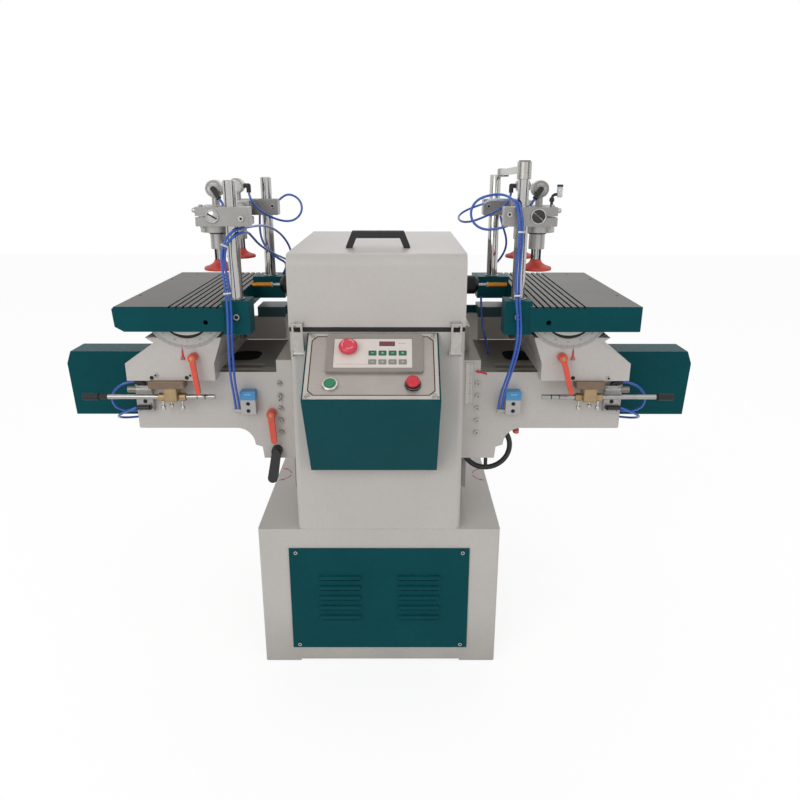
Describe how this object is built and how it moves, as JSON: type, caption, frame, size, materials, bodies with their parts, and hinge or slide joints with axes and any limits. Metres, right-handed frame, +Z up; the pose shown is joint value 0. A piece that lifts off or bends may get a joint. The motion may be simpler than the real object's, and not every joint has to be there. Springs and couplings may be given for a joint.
{
  "type": "mortise and tenon machine",
  "caption": "Mortise and tenon machine: a hooded double-ended spindle on a column, with a tilting, air-clamping table on each side.",
  "frame": {"origin": "on the floor under the middle of the base cabinet, which is also the centre of the four anchor holes", "axes": "+X along the cutter spindle, to the right as seen from the front; +Y from the front to the back; +Z up"},
  "size_m": [1.63, 0.794, 1.302],
  "materials": {
    "grey_paint": "satin",
    "green_paint": "satin",
    "table_iron": "ground",
    "steel": "machined",
    "chrome": "polished",
    "aluminium": "satin",
    "gold_zinc": "zinc plated",
    "carbide": "coated",
    "red_rubber": "matte",
    "black_rubber": "matte",
    "red_handle": "gloss",
    "black_plastic": "matte",
    "keypad": "matte",
    "red_button": "gloss",
    "green_button": "gloss",
    "blue_hose": "gloss"
  },
  "bodies": {
    "machine": {"base_cabinet": "green_paint", "louver_panel": "green_paint", "cabinet_screws": "steel", "column": "grey_paint", "control_box": "grey_paint", "control_plate": "aluminium", "controller": "keypad", "hood_seal": "black_rubber", "hood_hinges": "steel", "swing_rails": "chrome", "swing_gearmotor": "aluminium"},
    "hood_lid": {"hood": "grey_paint", "hood_handle": "black_plastic", "latch_keepers": "steel"},
    "right_latch_strap": {"right_latch": "steel"},
    "left_latch_strap": {"left_latch": "steel"},
    "estop": {"estop_button": "red_button"},
    "start": {"start_button": "green_button"},
    "stop": {"stop_button": "red_button"},
    "carriage": {"swing_carriage": "table_iron", "spindle_motor": "black_plastic"},
    "crank": {"swing_crank": "steel"},
    "spindle_rotor": {"spindle": "black_plastic", "cutters": "carbide"},
    "right_knee_slide": {"right_knee": "grey_paint", "right_end_guard": "green_paint", "right_feed_cylinder": "aluminium", "right_air_valves": "aluminium"},
    "right_handwheel_turner": {"right_handwheel": "black_plastic"},
    "right_lock_lever_arm": {"right_lock_lever": "red_handle"},
    "right_saddle_slide": {"right_saddle": "grey_paint", "right_stop_block": "gold_zinc"},
    "right_stop_rod_slide": {"right_stop_rod": "chrome"},
    "right_tilt_lever_arm": {"right_tilt_lever": "red_handle"},
    "right_tilt_table": {"right_table": "table_iron", "right_trunnion": "table_iron", "right_clamp_posts": "chrome", "right_hoses": "blue_hose"},
    "right_clamp_frame": {"right_clamp_arms": "aluminium", "right_clamp_cylinders": "aluminium"},
    "right_front_clamp": {"right_front_ram": "red_rubber"},
    "right_rear_clamp": {"right_rear_ram": "red_rubber"},
    "left_knee_slide": {"left_knee": "grey_paint", "left_end_guard": "green_paint", "left_feed_cylinder": "aluminium", "left_air_valves": "aluminium"},
    "left_lift_handle_turner": {"left_lift_handle": "black_plastic"},
    "left_lock_lever_arm": {"left_lock_lever": "red_handle"},
    "left_saddle_slide": {"left_saddle": "grey_paint", "left_stop_block": "gold_zinc"},
    "left_stop_rod_slide": {"left_stop_rod": "chrome"},
    "left_tilt_lever_arm": {"left_tilt_lever": "red_handle"},
    "left_tilt_table": {"left_table": "table_iron", "left_trunnion": "table_iron", "left_clamp_posts": "chrome", "left_hoses": "blue_hose"},
    "left_clamp_frame": {"left_clamp_arms": "aluminium", "left_clamp_cylinders": "aluminium"},
    "left_front_clamp": {"left_front_ram": "red_rubber"},
    "left_rear_clamp": {"left_rear_ram": "red_rubber"}
  },
  "joints": [
    {"name": "hood_hinge", "type": "hinge", "parent": "machine", "child": "hood_lid", "pos_m": [0, 0.313, 0.931], "axis": [-1, 0, 0], "range_deg": [0, 75]},
    {"name": "right_latch_hinge", "type": "hinge", "parent": "machine", "child": "right_latch_strap", "pos_m": [0.185, -0.318, 0.8695], "axis": [1, 0, 0], "range_deg": [-14, 80]},
    {"name": "left_latch_hinge", "type": "hinge", "parent": "machine", "child": "left_latch_strap", "pos_m": [-0.185, -0.318, 0.8695], "axis": [1, 0, 0], "range_deg": [-14, 80]},
    {"name": "estop_push", "type": "slide", "parent": "machine", "child": "estop", "axis": [0, 0.5718, -0.8204], "range_m": [0, 0.0035]},
    {"name": "start_push", "type": "slide", "parent": "machine", "child": "start", "axis": [0, 0.5718, -0.8204], "range_m": [0, 0.003], "stiffness_N_per_m": 600, "springref_m": -0.001},
    {"name": "stop_push", "type": "slide", "parent": "machine", "child": "stop", "axis": [0, 0.5718, -0.8204], "range_m": [0, 0.003], "stiffness_N_per_m": 600, "springref_m": -0.001},
    {"name": "spindle_swing", "type": "slide", "parent": "machine", "child": "carriage", "axis": [0, 1, 0], "range_m": [-0.05, 0.05]},
    {"name": "crank_turn", "type": "hinge", "parent": "machine", "child": "crank", "pos_m": [0, 0.12, 0.94], "axis": [0, 0, 1], "range_deg": [-90, 90]},
    {"name": "spindle_spin", "type": "hinge", "parent": "carriage", "child": "spindle_rotor", "pos_m": [0, -0.078, 0.9946], "axis": [1, 0, 0], "continuous": true},
    {"name": "right_knee_lift", "type": "slide", "parent": "machine", "child": "right_knee_slide", "axis": [0, 0, 1], "range_m": [-0.06, 0.005]},
    {"name": "right_saddle_feed", "type": "slide", "parent": "right_knee_slide", "child": "right_saddle_slide", "axis": [-1, 0, 0], "range_m": [0, 0.045], "deforming": ["right_hoses"]},
    {"name": "right_stop_rod_set", "type": "slide", "parent": "right_saddle_slide", "child": "right_stop_rod_slide", "axis": [1, 0, 0], "range_m": [-0.03, 0.06]},
    {"name": "right_tilt_lock", "type": "hinge", "parent": "right_saddle_slide", "child": "right_tilt_lever_arm", "pos_m": [0.447, -0.28, 0.85], "axis": [0, 1, 0], "range_deg": [-50, 50]},
    {"name": "right_table_tilt", "type": "hinge", "parent": "right_saddle_slide", "child": "right_tilt_table", "pos_m": [0.46, -0.02, 0.976], "axis": [0, -1, 0], "range_deg": [-10, 6], "deforming": ["right_hoses"]},
    {"name": "right_clamp_height", "type": "slide", "parent": "right_tilt_table", "child": "right_clamp_frame", "axis": [0, 0, 1], "range_m": [-0.04, 0.04], "deforming": ["right_hoses"]},
    {"name": "right_front_clamp_stroke", "type": "slide", "parent": "right_clamp_frame", "child": "right_front_clamp", "axis": [0, 0, -1], "range_m": [0, 0.03]},
    {"name": "right_rear_clamp_stroke", "type": "slide", "parent": "right_clamp_frame", "child": "right_rear_clamp", "axis": [0, 0, -1], "range_m": [0, 0.03]},
    {"name": "left_knee_lift", "type": "slide", "parent": "machine", "child": "left_knee_slide", "axis": [0, 0, 1], "range_m": [-0.06, 0.005]},
    {"name": "left_saddle_feed", "type": "slide", "parent": "left_knee_slide", "child": "left_saddle_slide", "axis": [1, 0, 0], "range_m": [0, 0.045], "deforming": ["left_hoses"]},
    {"name": "left_stop_rod_set", "type": "slide", "parent": "left_saddle_slide", "child": "left_stop_rod_slide", "axis": [-1, 0, 0], "range_m": [-0.03, 0.06]},
    {"name": "left_tilt_lock", "type": "hinge", "parent": "left_saddle_slide", "child": "left_tilt_lever_arm", "pos_m": [-0.447, -0.28, 0.85], "axis": [0, 1, 0], "range_deg": [-50, 50]},
    {"name": "left_table_tilt", "type": "hinge", "parent": "left_saddle_slide", "child": "left_tilt_table", "pos_m": [-0.46, -0.02, 0.976], "axis": [0, 1, 0], "range_deg": [-10, 6], "deforming": ["left_hoses"]},
    {"name": "left_clamp_height", "type": "slide", "parent": "left_tilt_table", "child": "left_clamp_frame", "axis": [0, 0, 1], "range_m": [-0.04, 0.04], "deforming": ["left_hoses"]},
    {"name": "left_front_clamp_stroke", "type": "slide", "parent": "left_clamp_frame", "child": "left_front_clamp", "axis": [0, 0, -1], "range_m": [0, 0.03]},
    {"name": "left_rear_clamp_stroke", "type": "slide", "parent": "left_clamp_frame", "child": "left_rear_clamp", "axis": [0, 0, -1], "range_m": [0, 0.03]},
    {"name": "right_handwheel_turn", "type": "hinge", "parent": "right_knee_slide", "child": "right_handwheel_turner", "pos_m": [0.286, -0.163, 0.575], "axis": [0, 1, 0], "range_deg": [-4400, 400]},
    {"name": "left_lift_handle_turn", "type": "hinge", "parent": "left_knee_slide", "child": "left_lift_handle_turner", "pos_m": [-0.264, -0.246, 0.59], "axis": [0, 1, 0], "range_deg": [-15, 80]},
    {"name": "right_knee_lock", "type": "hinge", "parent": "right_knee_slide", "child": "right_lock_lever_arm", "pos_m": [0.357, -0.13, 0.64], "axis": [0, 0, 1], "range_deg": [0, 70]},
    {"name": "left_knee_lock", "type": "hinge", "parent": "left_knee_slide", "child": "left_lock_lever_arm", "pos_m": [-0.272, -0.24, 0.692], "axis": [0, 1, 0], "range_deg": [-20, 60]}
  ],
  "couplings": [
    {"joint": "crank_turn", "follows": "spindle_swing", "rad_per_m": 31.416},
    {"joint": "right_rear_clamp_stroke", "follows": "right_front_clamp_stroke", "ratio": 1},
    {"joint": "left_rear_clamp_stroke", "follows": "left_front_clamp_stroke", "ratio": 1},
    {"joint": "right_handwheel_turn", "follows": "right_knee_lift", "rad_per_m": 1256.6}
  ]
}
